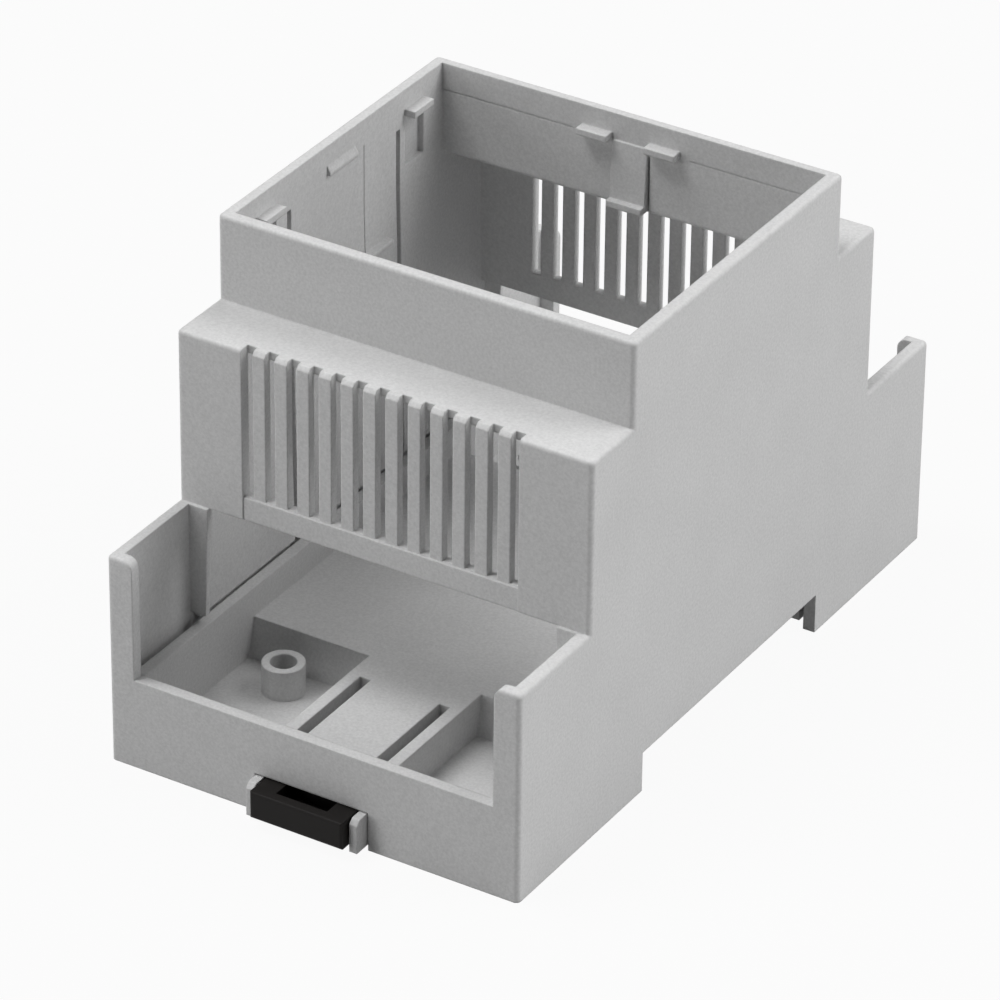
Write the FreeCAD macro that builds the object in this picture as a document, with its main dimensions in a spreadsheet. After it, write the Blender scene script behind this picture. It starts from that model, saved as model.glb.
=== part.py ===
"""DIN rail enclosure, three modules wide: an open vented housing, the tray that
snaps into it from below, and the black latch that grips the rail.

X runs along the rail, the latch is on the -Y side and +Z points away from the rail.
The origin lies on the rail seat, half way along X and on the rail's centre line.
"""
import FreeCAD, Part
import math
import os
import Sketcher

doc = FreeCAD.newDocument("din_rail_enclosure")

# Driving sizes in millimetres. Heights are measured up from the bottom edge of the
# housing. Each body is lowered afterwards, so that the rail seat comes to z = 0.
SIZES = [
    ("width", 53.0, "along the rail, three modules"),
    ("length", 90.0, "across the rail"),
    ("height", 58.5, "bottom edge to the rim of the nose"),
    ("nose_length", 45.0, "raised middle part that shows in a panel cut-out"),
    ("shoulder_length", 61.6, "over the two vented shoulders"),
    ("shoulder_height", 48.0, "top of the shoulders"),
    ("bay_height", 26.5, "top of the side walls beside the terminal bays"),
    ("sill_height", 11.4, "lower edge of the terminal openings"),
    ("side_wall", 1.5, "wall thickness"),
    ("nose_wall", 1.3, "wall thickness"),
    ("shoulder_wall", 1.4, "wall thickness"),
    ("shoulder_roof", 1.0, "wall thickness"),
    ("end_wall", 1.4, "wall thickness"),
    ("post_width", 3.3, "corner post beside a terminal opening, seen from its end"),
    ("corner_radius", 0.6, "upright outer corners"),
    ("edge_radius", 0.5, "upper outer edges"),
    ("post_radius", 1.2, "inner top corner of each post"),
    ("roof_radius", 0.5, "lower inner edge of the nose walls"),
    ("rail_depth", 5.0, "bottom edge to the rail seat"),
    ("channel_front", 18.9, "rail centre line to the channel's latch side"),
    ("channel_back", 19.9, "rail centre line to the channel's claw side"),
    ("rail_width", 35.0, "over the flanges of a top-hat rail"),
    ("rail_flange", 1.0, "thickness of the rail's flanges"),
    ("rail_grip", 1.5, "how far the claws and the latch reach under a flange"),
    ("rail_play", 0.1, "clearance under a flange"),
    ("slot_count", 13, "vent slots in each shoulder"),
    ("slot_pitch", 2.85, "vent slots"),
    ("slot_width", 1.25, "vent slots"),
    ("vent_offset", 0.35, "the slots on the latch side lie this far left of the middle"),
    ("slot_depth", 1.42, "from the shoulder's face, so a slot also notches its top"),
    ("slot_rise", 3.0, "from the terminal bays' side walls up to the foot of the slots"),
    ("field_lip", 0.15, "from there down to the edge of the sunk field round the slots"),
    ("field_recess", 0.35, "depth of that field"),
    ("field_brow", 0.45, "bevel on the upper end of the ribs between the slots"),
    ("apron_recess", 0.12, "depth of the strip below that field"),
    ("corner_rib_reach", 2.5, "short upright rib under each end of a shoulder wall"),
    ("corner_rib_foot", 2.0, "the same rib at its lower end"),
    ("corner_rib_gap", 1.1, "from that rib down to the level of the tray's rim"),
    ("corner_rib_step", 0.4, "how far it stands out in front of the shoulder wall"),
    ("corner_rib_thickness", 0.8, "the same rib"),
    ("taper_reach", 0.7, "how far the side walls lean inwards above the tray's rim"),
    ("rim_clearance", 0.2, "between the tray's rim and the foot of that taper"),
    ("lug_top", 56.0, "lugs that carry and hold the front panel"),
    ("lug_height", 0.8, "thickness of the lugs"),
    ("lug_reach", 1.4, "how far the lugs stand out"),
    ("end_lug_start", 2.45, "from the middle of the nose's end wall to a lug"),
    ("end_lug_length", 3.95, "along the wall"),
    ("side_lug_start", 13.2, "from the middle of the side wall to a lug"),
    ("side_lug_length", 4.0, "along the wall"),
    ("relief_depth", 0.7, "relief in the side wall under a side lug"),
    ("relief_bottom", 48.8, "lower end of that relief"),
    ("ridge_length", 5.8, "snap ridge in the middle of a side wall"),
    ("ridge_height", 1.2, "snap ridge"),
    ("ridge_slope", 0.8, "height of its sloped upper side"),
    ("ridge_reach", 0.45, "snap ridge"),
    ("seam_height", 55.2, "fine level groove inside the nose's end walls"),
    ("seam_width", 0.12, "that groove"),
    ("seam_depth", 0.08, "that groove"),
    ("seam_start", 7.7, "from the middle of the wall to the start of the groove"),
    ("tongue_width", 4.6, "tongue in the middle of the nose's end wall"),
    ("tongue_reach", 0.6, "how far the tongue stands out at its foot"),
    ("tongue_tip_reach", 0.2, "how far it stands out at its upper end"),
    ("tongue_slit", 0.25, "groove along one side of the tongue"),
    ("tongue_slit_depth", 0.8, "depth of that groove"),
    ("tongue_foot", 47.2, "lower end of the tongue"),
    ("guide_groove", 0.8, "width of the upright grooves in the side walls"),
    ("guide_groove_depth", 0.9, "depth of those grooves"),
    ("guide_groove_top", 53.9, "upper end of those grooves"),
    ("front_groove", 10.65, "from the middle to the groove on the latch side"),
    ("back_groove", 11.8, "from the middle to the groove on the claw side"),
    ("catch_top", 41.4, "thin board catch on each side wall"),
    ("catch_height", 0.55, "board catch"),
    ("catch_reach", 1.05, "board catch"),
    ("catch_start", 4.75, "board catch, from the middle of the side wall"),
    ("catch_length", 4.55, "board catch"),
    ("tray_gap", 0.8, "between the tray's rim and the housing's side wall"),
    ("tray_wall", 1.4, "rim of the tray"),
    ("tray_end_wall", 1.2, "end wall of a pocket in the tray"),
    ("tray_foot", 0.6, "underside of the tray"),
    ("tray_floor", 2.7, "floor of the pockets"),
    ("deck_height", 7.6, "raised deck over the rail and the latch"),
    ("pocket_start", 21.8, "from the rail's centre line to a pocket"),
    ("pocket_slope", 1.1, "how far a pocket's inner wall leans out towards its floor"),
    ("fit_gap", 0.1, "clearance between pieces that are snapped together"),
    ("channel_relief", 0.5, "how much wider the tray's rail channel is"),
    ("seat_relief", 0.3, "how much higher that channel is beside the seat"),
    ("seat_margin", 0.2, "from the seat's edge to the tip of a claw"),
    ("snap_length", 4.0, "lugs that snap the tray into the housing"),
    ("snap_height", 2.4, "snap lug"),
    ("snap_bottom", 8.0, "snap lug"),
    ("snap_place", 26.0, "from the rail's centre line to a snap lug"),
    ("snap_reach", 0.35, "how far a snap lug enters the side wall"),
    ("boss_place_x", 15.75, "screw boss, from the middle"),
    ("boss_place_y", 26.5, "screw boss, from the middle"),
    ("boss_diameter", 5.0, "screw boss"),
    ("boss_bore", 3.1, "pilot hole for a self-tapping screw"),
    ("boss_top", 6.5, "screw boss"),
    ("bore_bottom", 1.6, "lower end of the pilot hole"),
    ("claw_length", 8.0, "fixed rail claw, along the rail"),
    ("claw_place", 12.0, "from the middle to the middle of a claw"),
    ("claw_height", 2.6, "fixed rail claw"),
    ("claw_lead", 1.2, "sloped lead-in under a claw and under the latch's nose"),
    ("guide_wall", 1.2, "walls on either side of the latch"),
    ("guide_rib", 1.0, "end of a guide wall that stands out of the housing"),
    ("guide_reach", 2.0, "how far it stands out"),
    ("guide_height", 4.7, "top of the guide ribs"),
    ("guide_bevel", 0.6, "bevel on their upper front edge"),
    ("lip_width", 1.7, "lips that carry the latch from below"),
    ("lip_thickness", 0.6, "those lips"),
    ("slit_width", 1.4, "slits in the deck above the lips"),
    ("slit_start", 25.9, "from the rail's centre line to a slit"),
    ("latch_width", 12.0, "over the latch"),
    ("latch_bottom", 1.3, "underside of the latch"),
    ("latch_thickness", 3.4, "the latch"),
    ("latch_reach", 3.2, "how far the latch stands out of the housing"),
    ("latch_side_gap", 0.2, "latch to guide wall"),
    ("latch_mouth_gap", 0.15, "latch and guide ribs to the opening in the end wall"),
    ("latch_edge", 0.3, "rounding of the latch's outer end"),
    ("driver_slot_width", 6.6, "screwdriver slot in the latch"),
    ("driver_slot_length", 3.0, "screwdriver slot"),
    ("driver_slot_depth", 2.0, "screwdriver slot"),
    ("driver_slot_land", 1.3, "from the latch's outer face to the slot"),
    ("window_width", 5.2, "window in the latch round the stop peg"),
    ("window_end", 24.0, "from the rail's centre line to the window's inner end"),
    ("peg_width", 2.0, "stop peg under the deck"),
    ("peg_length", 1.4, "stop peg"),
    ("peg_place", 36.5, "from the rail's centre line to the peg's outer side"),
    ("peg_bottom", 1.8, "lower end of the stop peg"),
    ("arm_thickness", 0.8, "spring arms of the latch"),
    ("arm_slot", 1.2, "gap inside each spring arm"),
    ("arm_root", 24.6, "from the rail's centre line to the root of an arm"),
    ("arm_length", 14.2, "spring arm"),
    ("arm_tip", 1.4, "thicker free end of an arm"),
    ("arm_relief", 0.4, "space outside each arm"),
    ("nose_place", 20.0, "from the rail's centre line to the step of the latch's nose"),
    ("bite", 0.2, "how far an added form reaches into the wall that carries it"),
    ("overcut", 1.0, "how far a cut starts or ends outside the solid"),
]

sheet = doc.addObject("Spreadsheet::Sheet", "Sizes")
for row, (alias, value, note) in enumerate(SIZES, start=1):
    sheet.set("A%d" % row, alias)
    sheet.set("B%d" % row, str(value))
    sheet.set("C%d" % row, note)
    sheet.setAlias("B%d" % row, alias)
doc.recompute()


def sized(expression):
    """Turn an expression in plain alias names into one that reads the sheet."""
    words = []
    word = ""
    for letter in expression + " ":
        if letter.isalnum() or letter in "_.":
            word += letter
            continue
        is_alias = word[:1].isalpha()
        words.append(("Sizes." + word if is_alias else word) + letter)
        word = ""
    return "".join(words).strip()


def origin_plane(body, role):
    """Find one of the body's own origin planes."""
    for feature in body.Origin.OriginFeatures:
        if feature.Role == role:
            return feature
    raise ValueError("no plane " + role)


def new_body(label):
    """Start a body whose rail seat lies at z = 0."""
    body = doc.addObject("PartDesign::Body", label)
    body.Label = label
    body.setExpression("Placement.Base.z", sized("0 - rail_depth"))
    return body


def new_sketch(body, name, role, offset="0"):
    """Attach a sketch to an origin plane, moved along that plane's normal."""
    sketch = body.newObject("Sketcher::SketchObject", name)
    sketch.AttachmentSupport = (origin_plane(body, role), "")
    sketch.MapMode = "FlatFace"
    sketch.setExpression("AttachmentOffset.Base.z", sized(offset))
    return sketch


def draw_outline(sketch, corners):
    """Draw a closed outline, each corner placed by a pair of expressions."""
    places = []
    for across, up in corners:
        places.append(FreeCAD.Vector(sketch.evalExpression(sized(across)),
                                     sketch.evalExpression(sized(up)), 0))
    first = sketch.GeometryCount
    count = len(places)
    for index in range(count):
        line = Part.LineSegment(places[index], places[(index + 1) % count])
        sketch.addGeometry(line, False)
    for index in range(count):
        this_line = first + index
        next_line = first + (index + 1) % count
        sketch.addConstraint(Sketcher.Constraint("Coincident", this_line, 2, next_line, 1))
    for index, (across, up) in enumerate(corners):
        for kind, expression, place in (("DistanceX", across, places[index].x),
                                        ("DistanceY", up, places[index].y)):
            number = sketch.addConstraint(
                Sketcher.Constraint(kind, -1, 1, first + index, 1, place))
            sketch.setExpression("Constraints[%d]" % number, sized(expression))


def draw_rectangle(sketch, left, right, low, high):
    """Draw a rectangle from the expressions of its four sides."""
    draw_outline(sketch, [(left, low), (right, low), (right, high), (left, high)])


def draw_mirrored_rectangles(sketch, near, far, low, high):
    """Draw a rectangle at near to far along the first axis, and its mirror image."""
    draw_rectangle(sketch, near, far, low, high)
    draw_rectangle(sketch, "0 - (%s)" % far, "0 - (%s)" % near, low, high)


def draw_four_rectangles(sketch, near_x, far_x, near_y, far_y):
    """Draw one rectangle in each quarter of the sketch."""
    draw_mirrored_rectangles(sketch, near_x, far_x, near_y, far_y)
    draw_mirrored_rectangles(sketch, near_x, far_x,
                             "0 - (%s)" % far_y, "0 - (%s)" % near_y)


def draw_circle(sketch, across, up, diameter):
    """Draw a circle placed and sized by expressions."""
    centre = FreeCAD.Vector(sketch.evalExpression(sized(across)),
                            sketch.evalExpression(sized(up)), 0)
    size = sketch.evalExpression(sized(diameter))
    circle = sketch.addGeometry(Part.Circle(centre, FreeCAD.Vector(0, 0, 1), size / 2), False)
    for constraint, expression in (
            (Sketcher.Constraint("DistanceX", -1, 1, circle, 3, centre.x), across),
            (Sketcher.Constraint("DistanceY", -1, 1, circle, 3, centre.y), up),
            (Sketcher.Constraint("Diameter", circle, size), diameter)):
        number = sketch.addConstraint(constraint)
        sketch.setExpression("Constraints[%d]" % number, sized(expression))


def draw_flared_opening(sketch, half_width, low, high, radius):
    """Draw an opening whose upper corners curve outward, so that its posts are rounded."""
    side = sketch.evalExpression(sized(half_width))
    foot = sketch.evalExpression(sized(low))
    head = sketch.evalExpression(sized(high))
    curve = sketch.evalExpression(sized(radius))
    upright = FreeCAD.Vector(0, 0, 1)
    right_centre = FreeCAD.Vector(side + curve, head - curve, 0)
    left_centre = FreeCAD.Vector(-side - curve, head - curve, 0)
    sill, right, right_arc, top, left_arc, left = sketch.addGeometry([
        Part.LineSegment(FreeCAD.Vector(-side, foot, 0), FreeCAD.Vector(side, foot, 0)),
        Part.LineSegment(FreeCAD.Vector(side, foot, 0),
                         FreeCAD.Vector(side, head - curve, 0)),
        Part.ArcOfCircle(Part.Circle(right_centre, upright, curve), math.pi / 2, math.pi),
        Part.LineSegment(FreeCAD.Vector(side + curve, head, 0),
                         FreeCAD.Vector(-side - curve, head, 0)),
        Part.ArcOfCircle(Part.Circle(left_centre, upright, curve), 0, math.pi / 2),
        Part.LineSegment(FreeCAD.Vector(-side, head - curve, 0),
                         FreeCAD.Vector(-side, foot, 0))], False)
    sketch.addConstraint([
        Sketcher.Constraint("Coincident", sill, 2, right, 1),
        Sketcher.Constraint("Coincident", right, 2, right_arc, 2),
        Sketcher.Constraint("Coincident", right_arc, 1, top, 1),
        Sketcher.Constraint("Coincident", top, 2, left_arc, 2),
        Sketcher.Constraint("Coincident", left_arc, 1, left, 1),
        Sketcher.Constraint("Coincident", left, 2, sill, 1),
        Sketcher.Constraint("Vertical", right),
        Sketcher.Constraint("Vertical", left),
        Sketcher.Constraint("Horizontal", top),
        Sketcher.Constraint("Horizontal", right_arc, 2, right_arc, 3),
        Sketcher.Constraint("Vertical", right_arc, 1, right_arc, 3),
        Sketcher.Constraint("Horizontal", left_arc, 1, left_arc, 3),
        Sketcher.Constraint("Vertical", left_arc, 2, left_arc, 3)])
    for constraint, expression in (
            (Sketcher.Constraint("DistanceX", -1, 1, sill, 1, -side), "0 - (%s)" % half_width),
            (Sketcher.Constraint("DistanceX", -1, 1, sill, 2, side), half_width),
            (Sketcher.Constraint("DistanceY", -1, 1, sill, 1, foot), low),
            (Sketcher.Constraint("DistanceY", -1, 1, sill, 2, foot), low),
            (Sketcher.Constraint("DistanceY", -1, 1, top, 1, head), high),
            (Sketcher.Constraint("Radius", right_arc, curve), radius),
            (Sketcher.Constraint("Radius", left_arc, curve), radius)):
        number = sketch.addConstraint(constraint)
        sketch.setExpression("Constraints[%d]" % number, sized(expression))


def extrude(body, kind, sketch, name, length, middle=False, backwards=False):
    """Pad or pocket a sketch and make sure that it changed the solid the right way."""
    before = body.Tip.Shape.Volume if body.Tip else 0.0
    feature = body.newObject("PartDesign::" + kind, name)
    feature.Profile = sketch
    feature.Midplane = middle
    feature.Reversed = backwards
    feature.setExpression("Length", sized(length))
    doc.recompute()
    change = feature.Shape.Volume - before
    if change == 0 or (change > 0) != (kind == "Pad"):
        raise ValueError("%s changed the volume by %.3f" % (name, change))
    return feature


def pad(body, sketch, name, length, middle=False, backwards=False):
    return extrude(body, "Pad", sketch, name, length, middle, backwards)


def pocket(body, sketch, name, length, middle=False, backwards=False):
    return extrude(body, "Pocket", sketch, name, length, middle, backwards)


def mirror(body, feature, name, role):
    """Repeat a feature on the other side of one of the body's origin planes."""
    mirrored = body.newObject("PartDesign::Mirrored", name)
    mirrored.Originals = [feature]
    mirrored.MirrorPlane = (origin_plane(body, role), [""])
    body.Tip = mirrored
    doc.recompute()
    return mirrored


def round_edges(body, name, wanted, radius, kind="Fillet"):
    """Fillet or chamfer those edges of the body's last feature that are wanted."""
    base = body.Tip
    names = ["Edge%d" % (number + 1) for number, edge in enumerate(base.Shape.Edges)
             if wanted(edge)]
    feature = body.newObject("PartDesign::" + kind, name)
    feature.Base = (base, names)
    feature.setExpression("Radius" if kind == "Fillet" else "Size", sized(radius))
    doc.recompute()
    return feature


def value(expression):
    """Work out an expression in alias names."""
    return float(sheet.evalExpression(expression))


def near(one, other):
    return abs(one - other) < 1e-4


def runs_along(edge, axis):
    """Whether a straight edge is parallel to an axis."""
    if edge.Curve.TypeId != "Part::GeomLine":
        return False
    return near(abs(edge.Curve.Direction.dot(axis)), 1.0)


ALONG_X = FreeCAD.Vector(1, 0, 0)
ALONG_Y = FreeCAD.Vector(0, 1, 0)
ALONG_Z = FreeCAD.Vector(0, 0, 1)


# The housing: a stepped box, open below, at the nose and at both terminal bays.
housing = new_body("housing")

outer = new_sketch(housing, "outer_profile", "YZ_Plane")
draw_outline(outer, [
    ("0 - length / 2", "0"),
    ("0 - channel_front", "0"),
    ("0 - channel_front", "rail_depth"),
    ("channel_back", "rail_depth"),
    ("channel_back", "0"),
    ("length / 2", "0"),
    ("length / 2", "bay_height"),
    ("shoulder_length / 2", "bay_height"),
    ("shoulder_length / 2", "shoulder_height"),
    ("nose_length / 2", "shoulder_height"),
    ("nose_length / 2", "height"),
    ("0 - nose_length / 2", "height"),
    ("0 - nose_length / 2", "shoulder_height"),
    ("0 - shoulder_length / 2", "shoulder_height"),
    ("0 - shoulder_length / 2", "bay_height"),
    ("0 - length / 2", "bay_height")])
pad(housing, outer, "outer_form", "width", middle=True)

END_PLACES = [value("length / 2"), value("shoulder_length / 2"), value("nose_length / 2")]
TOP_PLACES = [value("bay_height"), value("shoulder_height"), value("height")]


def is_outer_corner(edge):
    """An upright edge of an end wall, a shoulder or the nose."""
    place = edge.CenterOfMass
    return runs_along(edge, ALONG_Z) and any(near(abs(place.y), end) for end in END_PLACES)


def is_upper_edge(edge):
    """A straight outer edge of an upward face, apart from the inner corners of the steps."""
    place = edge.CenterOfMass
    for end, top in zip(END_PLACES, TOP_PLACES):
        if near(place.z, top) and runs_along(edge, ALONG_X) and near(abs(place.y), end):
            return True
        if near(place.z, top) and runs_along(edge, ALONG_Y):
            return True
    return False


round_edges(housing, "outer_corners", is_outer_corner, "corner_radius")
round_edges(housing, "upper_edges", is_upper_edge, "edge_radius")

hollow = new_sketch(housing, "hollow_profile", "YZ_Plane")
draw_outline(hollow, [
    ("0 - (length / 2 - end_wall)", "0 - overcut"),
    ("length / 2 - end_wall", "0 - overcut"),
    ("length / 2 - end_wall", "bay_height"),
    ("shoulder_length / 2 - shoulder_wall", "bay_height"),
    ("shoulder_length / 2 - shoulder_wall", "shoulder_height - shoulder_roof"),
    ("nose_length / 2 - nose_wall", "shoulder_height - shoulder_roof"),
    ("nose_length / 2 - nose_wall", "height + overcut"),
    ("0 - (nose_length / 2 - nose_wall)", "height + overcut"),
    ("0 - (nose_length / 2 - nose_wall)", "shoulder_height - shoulder_roof"),
    ("0 - (shoulder_length / 2 - shoulder_wall)", "shoulder_height - shoulder_roof"),
    ("0 - (shoulder_length / 2 - shoulder_wall)", "bay_height"),
    ("0 - (length / 2 - end_wall)", "bay_height")])
pocket(housing, hollow, "hollow", "width - 2 * side_wall", middle=True)


def is_nose_foot(edge):
    """The lower inner edge of a nose wall, where it meets the shoulder's roof."""
    place = edge.CenterOfMass
    return (runs_along(edge, ALONG_X)
            and near(abs(place.y), value("nose_length / 2 - nose_wall"))
            and near(place.z, value("shoulder_height - shoulder_roof")))


round_edges(housing, "nose_feet", is_nose_foot, "roof_radius")

opening = new_sketch(housing, "bay_opening_outline", "XZ_Plane")
draw_flared_opening(opening, "width / 2 - post_width", "sill_height", "bay_height",
                    "post_radius")
pocket(housing, opening, "bay_openings", "length + 2 * overcut", middle=True)


mouth = new_sketch(housing, "latch_mouth_outline", "XZ_Plane", "length / 2 + overcut")
draw_rectangle(
    mouth,
    "0 - (latch_width / 2 + latch_side_gap + guide_rib + latch_mouth_gap)",
    "latch_width / 2 + latch_side_gap + guide_rib + latch_mouth_gap",
    "0 - overcut", "guide_height + latch_mouth_gap")
pocket(housing, mouth, "latch_mouth", "end_wall + 2 * overcut")

# The field round the vent slots is sunk into each shoulder wall, with a narrow ledge
# below it, and the strip under that ledge is sunk a little too.
FIELD_WIDTH = "(slot_count - 1) * slot_pitch + slot_width"
SLOT_FOOT = "bay_height + slot_rise"
SHOULDERS = (("front", "0 - ", "0 - vent_offset"), ("back", "", "0"))
for word, side, middle_x in SHOULDERS:
    field = new_sketch(housing, word + "_vent_field_profile", "YZ_Plane", middle_x)
    draw_outline(field, [
        (side + "(shoulder_length / 2 + overcut)", "bay_height - overcut"),
        (side + "(shoulder_length / 2 - apron_recess)", "bay_height - overcut"),
        (side + "(shoulder_length / 2 - apron_recess)", SLOT_FOOT + " - field_lip"),
        (side + "(shoulder_length / 2 - field_recess)", SLOT_FOOT + " - field_lip"),
        (side + "(shoulder_length / 2 - field_recess)", "shoulder_height - field_brow"),
        (side + "(shoulder_length / 2 - field_recess - field_brow)", "shoulder_height"),
        (side + "(shoulder_length / 2 - field_recess - field_brow)",
         "shoulder_height + overcut"),
        (side + "(shoulder_length / 2 + overcut)", "shoulder_height + overcut")])
    pocket(housing, field, word + "_vent_field", FIELD_WIDTH, middle=True)

# One slot in each shoulder, drawn from above, then repeated.
slot = new_sketch(housing, "vent_slot_outline", "XY_Plane", SLOT_FOOT)
for word, side, middle_x in SHOULDERS:
    first = middle_x + " - (slot_count - 1) * slot_pitch / 2"
    draw_rectangle(slot, first + " - slot_width / 2", first + " + slot_width / 2",
                   side + "(shoulder_length / 2 - slot_depth)", side + "shoulder_length / 2")
first_slots = pocket(housing, slot, "first_vent_slots",
                     "shoulder_height - (%s) + overcut" % SLOT_FOOT, backwards=True)
vents = housing.newObject("PartDesign::LinearPattern", "vent_slots")
vents.Originals = [first_slots]
vents.Direction = (slot, ["H_Axis"])
vents.setExpression("Length", sized("(slot_count - 1) * slot_pitch"))
vents.setExpression("Occurrences", sized("slot_count"))
housing.Tip = vents
doc.recompute()

# Named places that the inner details share.
INNER_X = "width / 2 - side_wall"
NOSE_Y = "nose_length / 2 - nose_wall"

# Short tapered ribs run down from the ends of the shoulder walls, and between them the
# side walls lean inwards, down to a ledge just above the tray's rim.
rib = new_sketch(housing, "corner_rib_outline", "XZ_Plane",
                 "shoulder_length / 2 + corner_rib_step")
taper = new_sketch(housing, "wall_taper_profile", "XZ_Plane")
for side in ("", "0 - "):
    draw_outline(rib, [
        (side + "(%s + bite)" % INNER_X, "sill_height + corner_rib_gap"),
        (side + "(%s + bite)" % INNER_X, "bay_height"),
        (side + "(%s - corner_rib_reach)" % INNER_X, "bay_height"),
        (side + "(%s - corner_rib_foot)" % INNER_X, "sill_height + corner_rib_gap")])
    draw_outline(taper, [
        (side + "(%s + bite)" % INNER_X, "sill_height + rim_clearance"),
        (side + "(%s + bite)" % INNER_X, "shoulder_height - shoulder_roof"),
        (side + "(%s)" % INNER_X, "shoulder_height - shoulder_roof"),
        (side + "(%s - taper_reach)" % INNER_X, "sill_height + rim_clearance")])
front_ribs = pad(housing, rib, "front_corner_ribs", "corner_rib_thickness", backwards=True)
mirror(housing, front_ribs, "corner_ribs", "XZ_Plane")
pad(housing, taper, "wall_taper",
    "shoulder_length + 2 * (corner_rib_step - corner_rib_thickness)", middle=True)

seam = new_sketch(housing, "seam_outline", "XY_Plane", "seam_height")
draw_four_rectangles(seam, "seam_start", INNER_X, NOSE_Y + " - bite", NOSE_Y + " + seam_depth")
pocket(housing, seam, "seam", "seam_width")

lugs = new_sketch(housing, "lug_outline", "XY_Plane", "lug_top")
draw_four_rectangles(lugs, "end_lug_start", "end_lug_start + end_lug_length",
                     NOSE_Y + " - lug_reach", NOSE_Y + " + bite")
draw_four_rectangles(lugs, INNER_X + " - lug_reach", INNER_X + " + bite",
                     "side_lug_start", "side_lug_start + side_lug_length")
pad(housing, lugs, "panel_lugs", "lug_height", backwards=True)

relief = new_sketch(housing, "relief_outline", "XY_Plane", "relief_bottom")
draw_four_rectangles(relief, INNER_X + " - bite", INNER_X + " + relief_depth",
                     "side_lug_start", "side_lug_start + side_lug_length")
pocket(housing, relief, "lug_reliefs", "lug_top - lug_height - relief_bottom",
       backwards=True)

ridge = new_sketch(housing, "ridge_profile", "XZ_Plane")
catch = new_sketch(housing, "catch_profile", "XZ_Plane", "0 - catch_start")
for side in ("", "0 - "):
    draw_outline(ridge, [
        (side + "(%s + bite)" % INNER_X, "lug_top"),
        (side + "(%s)" % INNER_X, "lug_top"),
        (side + "(%s - ridge_reach)" % INNER_X, "lug_top - ridge_slope"),
        (side + "(%s - ridge_reach)" % INNER_X, "lug_top - ridge_height"),
        (side + "(%s + bite)" % INNER_X, "lug_top - ridge_height")])
    draw_rectangle(catch, side + "(%s - catch_reach)" % INNER_X,
                   side + "(%s + bite)" % INNER_X, "catch_top - catch_height", "catch_top")
pad(housing, ridge, "snap_ridges", "ridge_length", middle=True)
pad(housing, catch, "board_catches", "catch_length", backwards=True)

scribe = new_sketch(housing, "catch_line_outline", "XY_Plane", "seam_height")
draw_mirrored_rectangles(scribe, INNER_X + " - taper_reach", INNER_X + " + seam_depth",
                         "catch_start - seam_width", "catch_start")
pocket(housing, scribe, "catch_lines", "seam_height - catch_top")

tongue = new_sketch(housing, "tongue_profile", "YZ_Plane")
slit = new_sketch(housing, "tongue_slit_outline", "XY_Plane", "tongue_foot - overcut")
for side in ("", "0 - "):
    draw_outline(tongue, [
        (side + "(%s + bite)" % NOSE_Y, "tongue_foot"),
        (side + "(%s - lug_reach)" % NOSE_Y, "tongue_foot"),
        (side + "(%s - lug_reach)" % NOSE_Y, "tongue_foot + lug_height"),
        (side + "(%s - tongue_reach)" % NOSE_Y, "tongue_foot + lug_height"),
        (side + "(%s - tongue_tip_reach)" % NOSE_Y, "lug_top - lug_height"),
        (side + "(%s + bite)" % NOSE_Y, "lug_top - lug_height")])
    draw_rectangle(slit, "tongue_width / 2", "tongue_width / 2 + tongue_slit",
                   side + "(%s - lug_reach)" % NOSE_Y,
                   side + "(%s + tongue_slit_depth)" % NOSE_Y)
pad(housing, tongue, "tongues", "tongue_width", middle=True)
pocket(housing, slit, "tongue_slits", "lug_top - lug_height - tongue_foot", backwards=True)

groove = new_sketch(housing, "guide_groove_outline", "XY_Plane", "guide_groove_top")
for place in ("0 - front_groove", "back_groove"):
    draw_mirrored_rectangles(groove, INNER_X + " - taper_reach - bite",
                             INNER_X + " + guide_groove_depth",
                             place + " - guide_groove / 2", place + " + guide_groove / 2")
pocket(housing, groove, "guide_grooves", "guide_groove_top + overcut")

nest = new_sketch(housing, "snap_nest_outline", "XY_Plane", "snap_bottom - fit_gap")
draw_four_rectangles(nest, INNER_X + " - bite", INNER_X + " + snap_reach + fit_gap",
                     "snap_place - snap_length / 2 - fit_gap",
                     "snap_place + snap_length / 2 + fit_gap")
pocket(housing, nest, "snap_nests", "snap_height + 2 * fit_gap", backwards=True)


# The tray: a floor with two pockets at each end, a raised deck over the rail and the
# latch, and a rim along each side.
tray = new_body("base_tray")
TRAY_X = "width / 2 - side_wall - tray_gap"
TRAY_Y = "length / 2 - end_wall - fit_gap"
GUIDE_X = "latch_width / 2 + latch_side_gap"

block = new_sketch(tray, "tray_outline", "XY_Plane", "tray_foot")
draw_rectangle(block, "0 - (%s)" % TRAY_X, TRAY_X, "0 - (%s)" % TRAY_Y, TRAY_Y)
pad(tray, block, "tray_block", "sill_height - tray_foot")

above = new_sketch(tray, "rim_inside", "XY_Plane", "sill_height")
draw_rectangle(above, "0 - (%s - tray_wall)" % TRAY_X, TRAY_X + " - tray_wall",
               "0 - (%s + overcut)" % TRAY_Y, TRAY_Y + " + overcut")
pocket(tray, above, "deck", "sill_height - deck_height")

wells = new_sketch(tray, "pocket_outline", "XY_Plane", "deck_height")
draw_four_rectangles(wells, GUIDE_X + " + guide_wall", TRAY_X + " - tray_wall",
                     "pocket_start", TRAY_Y + " - tray_end_wall")
pocket(tray, wells, "pockets", "deck_height - tray_floor")

slope = new_sketch(tray, "pocket_slope_profile", "YZ_Plane")
for side in ("", "0 - "):
    draw_outline(slope, [
        (side + "pocket_start", "deck_height"),
        (side + "pocket_start", "tray_floor"),
        (side + "(pocket_start + pocket_slope)", "tray_floor")])
pad(tray, slope, "pocket_slopes", "2 * (%s - tray_wall + bite)" % TRAY_X, middle=True)

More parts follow.
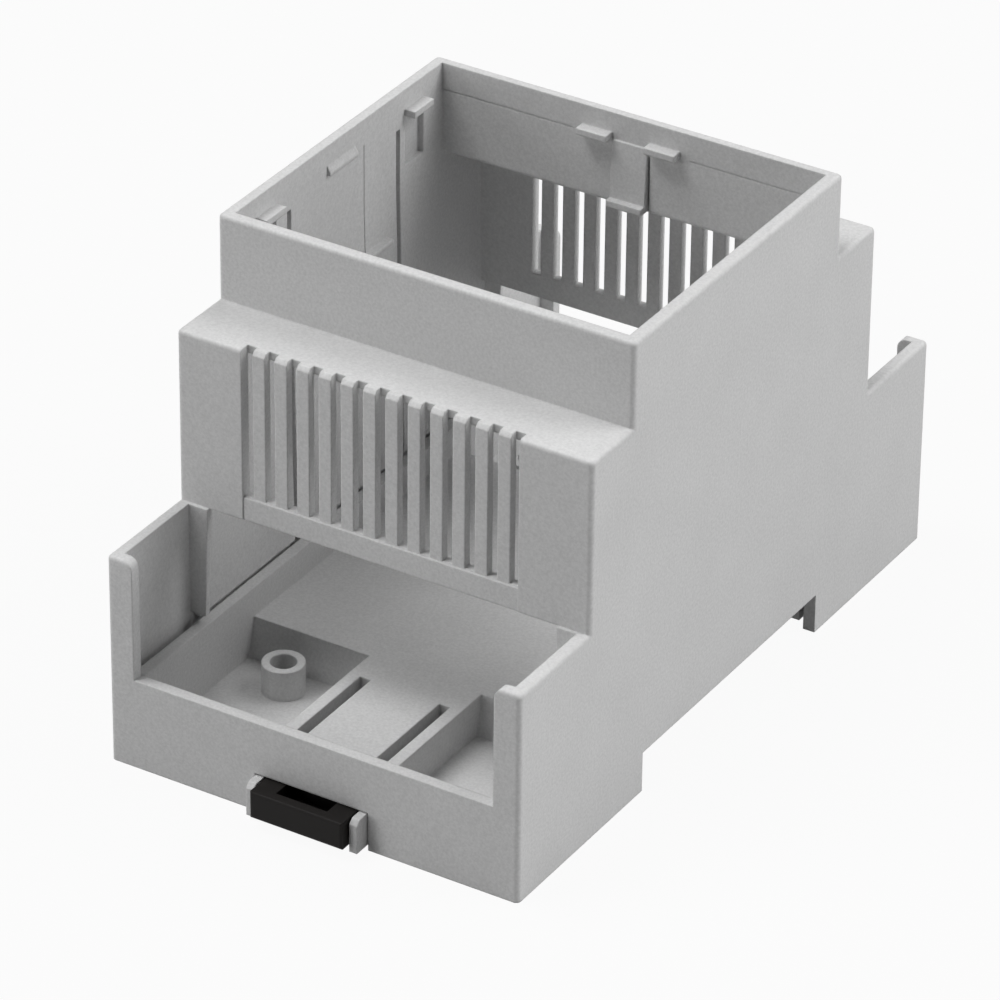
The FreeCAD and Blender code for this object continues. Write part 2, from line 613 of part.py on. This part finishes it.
# The channel is a little higher beside the seat, which leaves room for the burr on the
# edges of the rail's flanges.
CLAW_TOP = "rail_depth - rail_flange - rail_play"
CLAW_TIP = "rail_width / 2 - rail_grip"
channel = new_sketch(tray, "rail_channel_profile", "YZ_Plane")
draw_outline(channel, [
    ("0 - channel_front - channel_relief", "0"),
    ("channel_back + channel_relief", "0"),
    ("channel_back + channel_relief", "rail_depth + seat_relief"),
    (CLAW_TIP + " - seat_margin", "rail_depth + seat_relief"),
    (CLAW_TIP + " - seat_margin", "rail_depth"),
    ("0 - (%s - seat_margin)" % CLAW_TIP, "rail_depth"),
    ("0 - (%s - seat_margin)" % CLAW_TIP, "rail_depth + seat_relief"),
    ("0 - channel_front - channel_relief", "rail_depth + seat_relief")])
pocket(tray, channel, "rail_channel", "width", middle=True)

below = new_sketch(tray, "latch_way_outline", "XY_Plane")
draw_rectangle(below, "0 - (%s)" % GUIDE_X, GUIDE_X,
               "0 - (%s + overcut)" % TRAY_Y, "0 - channel_front")
draw_rectangle(below, "0 - (%s)" % GUIDE_X, GUIDE_X,
               "channel_back + channel_relief + tray_end_wall",
               TRAY_Y + " - tray_end_wall")
pocket(tray, below, "latch_way", "rail_depth", backwards=True)

lips = new_sketch(tray, "lip_outline", "XY_Plane", "tray_foot")
draw_mirrored_rectangles(lips, GUIDE_X + " - lip_width", GUIDE_X + " + bite",
                         "0 - (%s)" % TRAY_Y, "0 - slit_start")
pad(tray, lips, "latch_lips", "lip_thickness")

slits = new_sketch(tray, "slit_outline", "XY_Plane", "deck_height")
draw_mirrored_rectangles(slits, GUIDE_X + " - lip_width",
                         GUIDE_X + " - lip_width + slit_width",
                         "0 - (%s - tray_end_wall)" % TRAY_Y, "0 - slit_start")
pocket(tray, slits, "deck_slits", "deck_height - rail_depth + bite")

guides = new_sketch(tray, "guide_rib_outline", "XY_Plane", "tray_foot")
draw_mirrored_rectangles(guides, GUIDE_X, GUIDE_X + " + guide_rib",
                         "0 - (length / 2 + guide_reach)", "0 - (%s - bite)" % TRAY_Y)
pad(tray, guides, "guide_ribs", "guide_height - tray_foot")


def is_guide_brow(edge):
    """The upper front edge of a guide rib."""
    place = edge.CenterOfMass
    return (runs_along(edge, ALONG_X) and near(place.z, value("guide_height"))
            and near(place.y, -value("length / 2 + guide_reach")))


round_edges(tray, "guide_bevels", is_guide_brow, "guide_bevel", kind="Chamfer")

peg = new_sketch(tray, "peg_outline", "XY_Plane", "peg_bottom")
draw_rectangle(peg, "0 - peg_width / 2", "peg_width / 2", "0 - peg_place",
               "0 - (peg_place - peg_length)")
pad(tray, peg, "stop_peg", "rail_depth + bite - peg_bottom")

bosses = new_sketch(tray, "boss_outline", "XY_Plane", "tray_floor - bite")
bores = new_sketch(tray, "bore_outline", "XY_Plane", "boss_top")
for side_x in ("boss_place_x", "0 - boss_place_x"):
    for side_y in ("boss_place_y", "0 - boss_place_y"):
        draw_circle(bosses, side_x, side_y, "boss_diameter")
        draw_circle(bores, side_x, side_y, "boss_bore")
pad(tray, bosses, "screw_bosses", "boss_top - tray_floor + bite")
pocket(tray, bores, "pilot_holes", "boss_top - bore_bottom")

snaps = new_sketch(tray, "snap_outline", "XY_Plane", "snap_bottom")
draw_four_rectangles(snaps, TRAY_X + " - bite", INNER_X + " + snap_reach",
                     "snap_place - snap_length / 2", "snap_place + snap_length / 2")
pad(tray, snaps, "snap_lugs", "snap_height")

# Two claws reach under one flange of the rail, the second is the first one mirrored.
claw = new_sketch(tray, "claw_profile", "YZ_Plane", "claw_place")
draw_outline(claw, [
    ("channel_back + channel_relief + bite", CLAW_TOP),
    (CLAW_TIP, CLAW_TOP),
    (CLAW_TIP, CLAW_TOP + " - claw_height + claw_lead"),
    (CLAW_TIP + " + claw_lead", CLAW_TOP + " - claw_height"),
    ("channel_back + channel_relief + bite", CLAW_TOP + " - claw_height")])
right_claw = pad(tray, claw, "right_claw", "claw_length", middle=True)
mirror(tray, right_claw, "rail_claws", "YZ_Plane")


# The latch: a bar that slides under the deck, with a nose for the rail's other flange,
# a screwdriver slot outside and two spring arms cut out of its sides.
latch = new_body("rail_latch")
LATCH_X = "latch_width / 2"
LATCH_END = "length / 2 + latch_reach"
ARM_X = "latch_width / 2 - arm_relief"
ARM_END = "arm_root + arm_length"

bar = new_sketch(latch, "bar_outline", "XY_Plane", "latch_bottom")
draw_rectangle(bar, "0 - " + LATCH_X, LATCH_X, "0 - (%s)" % LATCH_END,
               "0 - (%s)" % CLAW_TIP)
pad(latch, bar, "bar", "latch_thickness")

step = new_sketch(latch, "nose_step_profile", "YZ_Plane")
draw_rectangle(step, "0 - nose_place", "0 - (%s - overcut)" % CLAW_TIP, CLAW_TOP,
               CLAW_TOP + " + latch_thickness")
pocket(latch, step, "nose_step", "latch_width + 2 * overcut", middle=True)


def is_nose_tip(edge):
    """The lower edge of the nose, which the rail pushes back as it is clipped on."""
    place = edge.CenterOfMass
    return (runs_along(edge, ALONG_X) and near(place.z, value("latch_bottom"))
            and near(place.y, -value(CLAW_TIP)))


def is_outer_end(edge):
    """An edge of the end face that stands out of the housing."""
    return near(edge.CenterOfMass.y, -value(LATCH_END))


round_edges(latch, "nose_lead", is_nose_tip, "claw_lead", kind="Chamfer")
round_edges(latch, "outer_end", is_outer_end, "latch_edge")

window = new_sketch(latch, "window_outline", "XY_Plane", "latch_bottom")
draw_rectangle(window, "0 - window_width / 2", "window_width / 2",
               "0 - (peg_place + fit_gap)", "0 - window_end")
for side in ("", "0 - "):
    draw_outline(window, [
        (side + "(%s - arm_thickness - arm_slot)" % ARM_X, "0 - arm_root"),
        (side + "(%s - arm_thickness)" % ARM_X, "0 - arm_root"),
        (side + "(%s - arm_thickness)" % ARM_X, "0 - (%s)" % ARM_END),
        (side + "(%s + overcut)" % LATCH_X, "0 - (%s)" % ARM_END),
        (side + "(%s + overcut)" % LATCH_X, "0 - (%s + arm_thickness)" % ARM_END),
        (side + "(%s - arm_thickness - arm_slot)" % ARM_X,
         "0 - (%s + arm_thickness)" % ARM_END)])
    draw_rectangle(window, side + "(%s)" % ARM_X, side + "(%s + overcut)" % LATCH_X,
                   "0 - (%s - arm_tip)" % ARM_END, "0 - arm_root")
pocket(latch, window, "window_and_arms", "latch_thickness", backwards=True)

driver = new_sketch(latch, "driver_slot_outline", "XY_Plane", "latch_bottom + latch_thickness")
draw_rectangle(driver, "0 - driver_slot_width / 2", "driver_slot_width / 2",
               "0 - (%s - driver_slot_land)" % LATCH_END,
               "0 - (%s - driver_slot_land - driver_slot_length)" % LATCH_END)
pocket(latch, driver, "driver_slot", "driver_slot_depth")


doc.recompute()
PIECES = (housing, tray, latch)
for item in doc.Objects:
    if "Invalid" in item.State or "Error" in item.State:
        raise RuntimeError("%s is not built: %s" % (item.Label, item.State))
for piece in PIECES:
    if piece.Shape.isNull() or not piece.Shape.isValid() or len(piece.Shape.Solids) != 1:
        raise RuntimeError("%s is not one sound solid" % piece.Label)

os.makedirs("parts", exist_ok=True)
for piece in PIECES:
    piece.Shape.exportStep("parts/%s.step" % piece.Label)
    print(piece.Label, "%.1f mm3" % piece.Shape.Volume)
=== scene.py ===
"""Looks of an open DIN rail enclosure: a light-grey vented housing on its base tray, with a
black rail latch, on a plain white studio floor.

The solids come packed from the CAD model and stay as they are. Each operator here gives one
moulding its finish, and the last one sets up the floor, the lamps and the camera. All lengths
in the properties are in millimetres, which is what the unit CAMERA stands for.
"""

import math

import bpy
from bpy.props import FloatProperty, FloatVectorProperty, PointerProperty
from mathutils import Matrix, Vector


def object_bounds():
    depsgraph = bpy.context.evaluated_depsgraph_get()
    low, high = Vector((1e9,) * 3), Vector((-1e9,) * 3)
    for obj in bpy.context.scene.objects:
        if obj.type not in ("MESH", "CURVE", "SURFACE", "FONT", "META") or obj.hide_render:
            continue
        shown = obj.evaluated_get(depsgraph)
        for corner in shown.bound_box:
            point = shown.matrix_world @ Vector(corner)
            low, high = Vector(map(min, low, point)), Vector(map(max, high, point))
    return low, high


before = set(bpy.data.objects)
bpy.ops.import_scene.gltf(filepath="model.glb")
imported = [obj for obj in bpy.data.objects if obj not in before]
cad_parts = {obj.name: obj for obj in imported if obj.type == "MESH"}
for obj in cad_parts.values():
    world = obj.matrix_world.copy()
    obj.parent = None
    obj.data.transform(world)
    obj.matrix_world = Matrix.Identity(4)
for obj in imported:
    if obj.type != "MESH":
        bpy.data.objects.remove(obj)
CAD_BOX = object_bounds()

bl_info = {
    "name": "Rail Enclosure Looks",
    "version": (1, 0, 0),
    "blender": (4, 5, 0),
    "location": "3D View > Sidebar > Rail Enclosure",
    "description": "Moulded finishes and a studio for a vented DIN rail enclosure",
    "category": "Material",
}

MM = 0.001
BOX_LOW, BOX_HIGH = CAD_BOX
FLOOR_HEIGHT = BOX_LOW.z

# Half the floor's side, in metres, and the width of the camera's sensor, in mm
FLOOR_REACH = 4.0
SENSOR_WIDTH = 36.0

# Values between which a noise texture mostly stays
NOISE_LOW, NOISE_HIGH = 0.3, 0.7

# How far the tone of the ABS strays from its colour, in cloudy patches and from pit to pit,
# and how much paler its edges are made, as a painted highlight
CLOUD_DARK, CLOUD_PALE = 0.975, 1.02
PIT_DARK, PIT_PALE = 0.91, 1.09
EDGE_HIGHLIGHT = 1.1

# Cosine of the angle between the rounded and the flat face, at a full edge and at none
EDGE_FULL, EDGE_NONE = 0.75, 0.995

# How far the roughness of the ABS strays from patch to patch and falls at an edge, the
# width of a patch against that of a pit, and the reach of a patch from its centre
PATCH_ROUGHNESS = 0.05
EDGE_POLISH = 0.2
PATCH_TO_PIT = 1.6
PATCH_REACH = 0.8

# Roughness and tone of the polyamide from streak to streak, and how the streaks are drawn
# out along the latch
STREAK_GLOSSY, STREAK_DULL = 0.42, 0.6
STREAK_DARK, STREAK_PALE = 0.85, 1.2
STREAK_DRAW = (1.0, 0.15, 1.0)

# Each lamp's turn to the right of the latch's side and its height, in degrees
LAMPS = (("front", -60, 66), ("back", 120, 45), ("rear", -170, 66), ("low_front", -40, 12),
         ("low_side", 100, 12))


def linear(hex_colour):
    """Turn an sRGB hex colour into the linear values that a shader takes."""
    channels = [int(hex_colour[place:place + 2], 16) / 255 for place in (0, 2, 4)]
    return tuple(c / 12.92 if c <= 0.04045 else ((c + 0.055) / 1.055) ** 2.4
                 for c in channels)


WHITE = (*linear("FFFFFF"), 1.0)


def node(tree, kind, inputs=None, **settings):
    """Add a node, apply its settings, and fill or link its inputs."""
    made = tree.nodes.new(kind)
    for name, setting in settings.items():
        setattr(made, name, setting)
    for name, given in (inputs or {}).items():
        if isinstance(given, bpy.types.NodeSocket):
            tree.links.new(given, made.inputs[name])
        else:
            made.inputs[name].default_value = given
    return made


def new_material(name):
    """Make an empty node material and return it with its tree."""
    material = bpy.data.materials.new(name)
    material.use_nodes = True
    material.node_tree.nodes.clear()
    return material, material.node_tree


def per_mm(size):
    """Scale of a texture whose features are this many millimetres apart."""
    return 1 / (size * MM)


# Finishes

def moulded_abs(name, colour, grain):
    """Light-grey ABS from a spark-eroded mould: an even, dry surface with a fine grain that
    scatters highlights, faint cloudiness from the flow of the melt, and edges that are a
    little smoother than the faces and made paler by a painted highlight.
    """
    material, tree = new_material(name)
    place = node(tree, "ShaderNodeTexCoord").outputs["Object"]
    cloud = node(tree, "ShaderNodeTexNoise",
                 {"Vector": place, "Scale": per_mm(grain.cloud_size), "Detail": 2.0,
                  "Roughness": 0.5})
    # The mould's real pits are about 0.05 mm wide and would not show in the render, so they
    # are drawn as coarse as grain_size gives
    pits = node(tree, "ShaderNodeTexNoise",
                {"Vector": place, "Scale": per_mm(grain.grain_size), "Detail": 3.0,
                 "Roughness": 0.6})
    speckle = node(tree, "ShaderNodeTexVoronoi",
                   {"Vector": place, "Scale": per_mm(grain.grain_size * PATCH_TO_PIT),
                    "Randomness": 1.0})
    tone = node(tree, "ShaderNodeMapRange",
                {"Value": cloud.outputs["Fac"], "From Min": NOISE_LOW,
                 "From Max": NOISE_HIGH, "To Min": CLOUD_DARK, "To Max": CLOUD_PALE})
    fleck = node(tree, "ShaderNodeMapRange",
                 {"Value": pits.outputs["Fac"], "From Min": NOISE_LOW,
                  "From Max": NOISE_HIGH, "To Min": PIT_DARK, "To Max": PIT_PALE})
    shade = node(tree, "ShaderNodeMath",
                 {0: tone.outputs["Result"], 1: fleck.outputs["Result"]},
                 operation="MULTIPLY")
    rounded = node(tree, "ShaderNodeBevel", {"Radius": grain.edge_radius * MM}, samples=6)
    geometry = node(tree, "ShaderNodeNewGeometry")
    flatness = node(tree, "ShaderNodeVectorMath",
                    {0: rounded.outputs["Normal"], 1: geometry.outputs["Normal"]},
                    operation="DOT_PRODUCT")
    edge = node(tree, "ShaderNodeMapRange",
                {"Value": flatness.outputs["Value"], "From Min": EDGE_FULL,
                 "From Max": EDGE_NONE, "To Min": 1.0, "To Max": 0.0})
    # Painted highlight: the rounded edges are made paler in colour than the faces
    painted_edge_highlight = node(tree, "ShaderNodeMapRange",
                  {"Value": edge.outputs["Result"], "To Min": 1.0, "To Max": EDGE_HIGHLIGHT})
    lightness = node(tree, "ShaderNodeMath",
                     {0: shade.outputs["Value"], 1: painted_edge_highlight.outputs["Result"]},
                     operation="MULTIPLY")
    tint = node(tree, "ShaderNodeVectorMath",
                {0: colour, "Scale": lightness.outputs["Value"]}, operation="SCALE")
    dryness = node(tree, "ShaderNodeMapRange",
                   {"Value": speckle.outputs["Distance"], "From Max": PATCH_REACH,
                    "To Min": grain.roughness - PATCH_ROUGHNESS,
                    "To Max": grain.roughness + PATCH_ROUGHNESS})
    polish = node(tree, "ShaderNodeMath",
                  {0: dryness.outputs["Result"], 1: edge.outputs["Result"]},
                  operation="MULTIPLY")
    finish = node(tree, "ShaderNodeMath",
                  {0: polish.outputs["Value"], 1: -EDGE_POLISH,
                   2: dryness.outputs["Result"]}, operation="MULTIPLY_ADD")
    texture = node(tree, "ShaderNodeBump",
                   {"Strength": 0.6, "Distance": grain.grain_depth * MM,
                    "Height": pits.outputs["Fac"], "Normal": rounded.outputs["Normal"]})
    surface = node(tree, "ShaderNodeBsdfPrincipled",
                   {"Base Color": tint.outputs["Vector"],
                    "Roughness": finish.outputs["Value"], "IOR": 1.54,
                    "Normal": texture.outputs["Normal"]})
    node(tree, "ShaderNodeOutputMaterial", {"Surface": surface.outputs["BSDF"]})
    return material


def moulded_polyamide(name, colour, grain):
    """Black polyamide from a polished mould: nearly smooth, with a soft sheen broken by
    faint streaks along the way the melt ran, and edges that catch the light.
    """
    material, tree = new_material(name)
    place = node(tree, "ShaderNodeTexCoord").outputs["Object"]
    drawn = node(tree, "ShaderNodeMapping", {"Vector": place, "Scale": STREAK_DRAW})
    streaks = node(tree, "ShaderNodeTexNoise",
                   {"Vector": drawn.outputs["Vector"], "Scale": per_mm(grain.streak_width),
                    "Detail": 4.0, "Roughness": 0.55})
    pits = node(tree, "ShaderNodeTexNoise",
                {"Vector": place, "Scale": per_mm(grain.grain_size), "Detail": 2.0})
    gloss = node(tree, "ShaderNodeMapRange",
                 {"Value": streaks.outputs["Fac"], "From Min": NOISE_LOW,
                  "From Max": NOISE_HIGH, "To Min": STREAK_GLOSSY, "To Max": STREAK_DULL})
    depth = node(tree, "ShaderNodeMapRange",
                 {"Value": streaks.outputs["Fac"], "From Min": NOISE_LOW,
                  "From Max": NOISE_HIGH, "To Min": STREAK_DARK, "To Max": STREAK_PALE})
    tint = node(tree, "ShaderNodeVectorMath",
                {0: colour, "Scale": depth.outputs["Result"]}, operation="SCALE")
    rounded = node(tree, "ShaderNodeBevel", {"Radius": grain.edge_radius * MM}, samples=6)
    texture = node(tree, "ShaderNodeBump",
                   {"Strength": 0.4, "Distance": grain.grain_depth * MM,
                    "Height": pits.outputs["Fac"], "Normal": rounded.outputs["Normal"]})
    # The object's latch reflects little, so the specular level lies below the usual 0.5
    surface = node(tree, "ShaderNodeBsdfPrincipled",
                   {"Base Color": tint.outputs["Vector"],
                    "Roughness": gloss.outputs["Result"], "IOR": 1.53,
                    "Specular IOR Level": 0.12,
                    "Normal": texture.outputs["Normal"]})
    node(tree, "ShaderNodeOutputMaterial", {"Surface": surface.outputs["BSDF"]})
    return material


def studio_white(name, colour, shadow):
    """Matt paper: the camera and mirrors see it as white with a trace of the object's
    shadow, and the object gets only the light that paper of the given colour throws back.
    """
    material, tree = new_material(name)
    rays = node(tree, "ShaderNodeLightPath")
    seen = node(tree, "ShaderNodeMath",
                {0: rays.outputs["Is Camera Ray"], 1: rays.outputs["Is Glossy Ray"]},
                operation="MAXIMUM")
    looked_at = node(tree, "ShaderNodeMath",
                     {0: seen.outputs["Value"], 1: rays.outputs["Is Transmission Ray"]},
                     operation="MAXIMUM")
    share = node(tree, "ShaderNodeMath",
                 {0: looked_at.outputs["Value"], 1: 1.0 - shadow}, operation="MULTIPLY")
    paper = node(tree, "ShaderNodeBsdfDiffuse", {"Color": (*colour, 1.0)})
    white = node(tree, "ShaderNodeEmission", {"Color": WHITE, "Strength": 1.0})
    mixed = node(tree, "ShaderNodeMixShader",
                 {0: share.outputs["Value"], 1: paper.outputs["BSDF"],
                  2: white.outputs["Emission"]})
    node(tree, "ShaderNodeOutputMaterial", {"Surface": mixed.outputs["Shader"]})
    return material


def dress(piece, material):
    """Give a CAD node its finish."""
    piece.data.materials.clear()
    piece.data.materials.append(material)


class HousingFinish(bpy.types.PropertyGroup):
    """Finish of the light-grey ABS mouldings."""

    colour: FloatVectorProperty(
        name="Colour", description="Colour of the moulded ABS", subtype="COLOR",
        size=3, min=0.0, max=1.0, default=linear("CFCFCF"))
    grain_size: FloatProperty(
        name="Grain size", description="Width of a pit of the eroded texture, in mm, drawn "
        "coarser than the real 0.05 so that it shows", default=0.34, min=0.01,
        unit="CAMERA")
    grain_depth: FloatProperty(
        name="Grain depth", description="Depth of the pits, in mm", default=0.008, min=0.0,
        unit="CAMERA")
    cloud_size: FloatProperty(
        name="Cloud size", description="Width of the cloudy patches from the melt's flow, "
        "in mm", default=9.0, min=0.1, unit="CAMERA")
    edge_radius: FloatProperty(
        name="Edge radius", description="Softening of the sharp edges, in mm", default=0.3,
        min=0.0, unit="CAMERA")
    roughness: FloatProperty(
        name="Roughness", description="Mean roughness of the surface", default=0.56,
        min=0.0, max=1.0, subtype="FACTOR")


class LatchFinish(bpy.types.PropertyGroup):
    """Finish of the black polyamide latch."""

    colour: FloatVectorProperty(
        name="Colour", description="Colour of the moulded polyamide", subtype="COLOR",
        size=3, min=0.0, max=1.0, default=linear("1C1A19"))
    streak_width: FloatProperty(
        name="Streak width", description="Width of a flow streak, in mm", default=0.8,
        min=0.05, unit="CAMERA")
    grain_size: FloatProperty(
        name="Grain size", description="Width of the surface's fine ripple, in mm",
        default=0.35, min=0.01, unit="CAMERA")
    grain_depth: FloatProperty(
        name="Grain depth", description="Depth of the ripple, in mm", default=0.006, min=0.0,
        unit="CAMERA")
    edge_radius: FloatProperty(
        name="Edge radius", description="Softening of the sharp edges, in mm", default=0.2,
        min=0.0, unit="CAMERA")


class StudioSetup(bpy.types.PropertyGroup):
    """Floor, lamps and camera."""

    azimuth: FloatProperty(
        name="Azimuth", description="Camera's turn to the right of the latch's side",
        subtype="ANGLE", default=math.radians(31.396))
    elevation: FloatProperty(
        name="Elevation", description="Camera's height above the horizon", subtype="ANGLE",
        default=math.radians(31.101))
    roll: FloatProperty(
        name="Roll", description="Camera's tilt to one side", subtype="ANGLE",
        default=math.radians(0.601))
    distance: FloatProperty(
        name="Distance", description="Camera's distance from the point aimed at, in mm",
        default=732.8, min=1.0, unit="CAMERA")
    aim: FloatVectorProperty(
        name="Aim", description="Point that the camera is aimed at, in mm", size=3,
        default=(-0.475, -5.40, 16.85), subtype="XYZ", unit="CAMERA")
    lens: FloatProperty(
        name="Lens", description="Focal length for a sensor 36 mm wide, in mm",
        default=235.52, min=1.0, unit="CAMERA")
    front: FloatProperty(
        name="Front lamp", description="Power of the high lamp in front on the left, in watts",
        default=6.8, min=0.0, unit="POWER")
    back: FloatProperty(
        name="Back lamp", description="Power of the lamp behind on the right, in watts",
        default=4.1, min=0.0, unit="POWER")
    rear: FloatProperty(
        name="Rear lamp", description="Power of the high lamp behind, in watts",
        default=1.6, min=0.0, unit="POWER")
    low_front: FloatProperty(
        name="Low front lamp", description="Power of the low lamp in front on the left, in "
        "watts", default=2.6, min=0.0, unit="POWER")
    low_side: FloatProperty(
        name="Low side lamp", description="Power of the low lamp on the right, in watts",
        default=3.3, min=0.0, unit="POWER")
    lamp_size: FloatProperty(
        name="Lamp size", description="Side of each square lamp, in mm", default=500.0,
        min=10.0, unit="CAMERA")
    lamp_distance: FloatProperty(
        name="Lamp distance", description="From the object's middle to each lamp, in mm",
        default=1000.0, min=100.0, unit="CAMERA")
    floor_colour: FloatVectorProperty(
        name="Floor colour", description="Colour of the paper as the object is lit by it",
        subtype="COLOR", size=3, min=0.0, max=1.0, default=linear("AAAAAA"))
    sky: FloatProperty(
        name="Room light", description="Strength of the even light from all round",
        default=0.005, min=0.0)
    shadow: FloatProperty(
        name="Floor shadow", description="Share of the shadow that shows on the floor",
        default=0.06, min=0.0, max=1.0, subtype="FACTOR")


class ENCLOSURE_OT_finish_housing(bpy.types.Operator):
    """Give the housing its moulded ABS finish"""

    bl_idname = "enclosure.finish_housing"
    bl_label = "Finish Housing"

    def execute(self, context):
        grain = context.scene.enclosure_housing
        dress(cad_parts["housing"],
              moulded_abs("Light-grey ABS, spark-eroded mould", grain.colour, grain))
        return {"FINISHED"}


class ENCLOSURE_OT_finish_tray(bpy.types.Operator):
    """Give the base tray its moulded ABS finish"""

    bl_idname = "enclosure.finish_tray"
    bl_label = "Finish Base Tray"

    def execute(self, context):
        grain = context.scene.enclosure_housing
        dress(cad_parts["base_tray"],
              moulded_abs("Light-grey ABS, tray mould", grain.colour, grain))
        return {"FINISHED"}


class ENCLOSURE_OT_finish_latch(bpy.types.Operator):
    """Give the rail latch its moulded polyamide finish"""

    bl_idname = "enclosure.finish_latch"
    bl_label = "Finish Rail Latch"

    def execute(self, context):
        grain = context.scene.enclosure_latch
        dress(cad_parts["rail_latch"],
              moulded_polyamide("Black polyamide, polished mould", grain.colour, grain))
        return {"FINISHED"}


def add_floor(paper):
    """A flat white floor that the enclosure stands on, far wider than the view."""
    mesh = bpy.data.meshes.new("studio_floor")
    corners = [(x * FLOOR_REACH, y * FLOOR_REACH, FLOOR_HEIGHT)
               for x, y in ((-1, -1), (1, -1), (1, 1), (-1, 1))]
    mesh.from_pydata(corners, [], [(0, 1, 2, 3)])
    mesh.materials.append(paper)
    floor = bpy.data.objects.new("studio_floor", mesh)
    bpy.context.scene.collection.objects.link(floor)
    return floor


def add_lamp(name, power, size, azimuth, elevation, distance, aim):
    """A square soft lamp, placed by its direction from the point that it lights."""
    data = bpy.data.lights.new(name, "AREA")
    data.shape = "SQUARE"
    data.size = size
    data.energy = power
    lamp = bpy.data.objects.new(name, data)
    bpy.context.scene.collection.objects.link(lamp)
    back = direction(azimuth, elevation)
    lamp.location = aim + back * distance
    lamp.rotation_euler = (-back).to_track_quat("-Z", "Y").to_euler()
    return lamp


def direction(azimuth, elevation):
    """Unit vector from the object towards a viewer; azimuth 0 is the latch's side."""
    return Vector((math.sin(azimuth) * math.cos(elevation),
                   -math.cos(azimuth) * math.cos(elevation),
                   math.sin(elevation)))


def add_camera(studio):
    """The camera of the photograph's view."""
    data = bpy.data.cameras.new("camera")
    data.sensor_width = SENSOR_WIDTH
    data.lens = studio.lens
    data.clip_start = 0.01
    data.clip_end = 20.0
    camera = bpy.data.objects.new("camera", data)
    bpy.context.scene.collection.objects.link(camera)
    back = direction(studio.azimuth, studio.elevation)
    turn = (-back).to_track_quat("-Z", "Y").to_matrix() @ Matrix.Rotation(studio.roll, 3, "Z")
    camera.location = (Vector(studio.aim) + back * studio.distance) * MM
    camera.rotation_euler = turn.to_euler()
    bpy.context.scene.camera = camera
    return camera


def light_room(strength):
    """Even light from all round, which the camera sees as white."""
    world = bpy.data.worlds.new("studio_room")
    world.use_nodes = True
    tree = world.node_tree
    tree.nodes.clear()
    rays = node(tree, "ShaderNodeLightPath")
    seen = node(tree, "ShaderNodeMath",
                {0: rays.outputs["Is Camera Ray"], 1: rays.outputs["Is Transmission Ray"]},
                operation="MAXIMUM")
    level = node(tree, "ShaderNodeMapRange",
                 {"Value": seen.outputs["Value"], "To Min": strength, "To Max": 1.0})
    room = node(tree, "ShaderNodeBackground",
                {"Color": WHITE, "Strength": level.outputs["Result"]})
    node(tree, "ShaderNodeOutputWorld", {"Surface": room.outputs["Background"]})
    bpy.context.scene.world = world


class ENCLOSURE_OT_set_stage(bpy.types.Operator):
    """Set up the white floor, the soft lamps and the camera"""

    bl_idname = "enclosure.set_stage"
    bl_label = "Set Up Studio"

    def execute(self, context):
        studio = context.scene.enclosure_studio
        centre = (BOX_LOW + BOX_HIGH) / 2
        add_floor(studio_white("Matt white paper", studio.floor_colour, studio.shadow))
        for name, azimuth, elevation in LAMPS:
            add_lamp(name + "_lamp", getattr(studio, name), studio.lamp_size * MM,
                     math.radians(azimuth), math.radians(elevation),
                     studio.lamp_distance * MM, centre)
        light_room(studio.sky)
        add_camera(studio)
        view = context.scene.view_settings
        view.view_transform = "Standard"
        return {"FINISHED"}


class ENCLOSURE_PT_sidebar(bpy.types.Panel):
    """Lists the operators and their settings."""

    bl_idname = "ENCLOSURE_PT_sidebar"
    bl_label = "Rail Enclosure"
    bl_space_type = "VIEW_3D"
    bl_region_type = "UI"
    bl_category = "Rail Enclosure"

    def draw(self, context):
        layout = self.layout
        for group, operators in (
                ("enclosure_housing", (ENCLOSURE_OT_finish_housing, ENCLOSURE_OT_finish_tray)),
                ("enclosure_latch", (ENCLOSURE_OT_finish_latch,)),
                ("enclosure_studio", (ENCLOSURE_OT_set_stage,))):
            box = layout.box()
            settings = getattr(context.scene, group)
            for name in settings.__annotations__:
                box.prop(settings, name)
            for operator in operators:
                box.operator(operator.bl_idname)


CLASSES = (HousingFinish, LatchFinish, StudioSetup, ENCLOSURE_OT_finish_housing,
           ENCLOSURE_OT_finish_tray, ENCLOSURE_OT_finish_latch, ENCLOSURE_OT_set_stage,
           ENCLOSURE_PT_sidebar)


def register():
    for cls in CLASSES:
        bpy.utils.register_class(cls)
    bpy.types.Scene.enclosure_housing = PointerProperty(type=HousingFinish)
    bpy.types.Scene.enclosure_latch = PointerProperty(type=LatchFinish)
    bpy.types.Scene.enclosure_studio = PointerProperty(type=StudioSetup)


def unregister():
    del bpy.types.Scene.enclosure_studio
    del bpy.types.Scene.enclosure_latch
    del bpy.types.Scene.enclosure_housing
    for cls in reversed(CLASSES):
        bpy.utils.unregister_class(cls)


def main():
    """Register and run every operator in order."""
    register()
    bpy.ops.enclosure.finish_housing()
    bpy.ops.enclosure.finish_tray()
    bpy.ops.enclosure.finish_latch()
    bpy.ops.enclosure.set_stage()


if __name__ == "__main__":
    main()
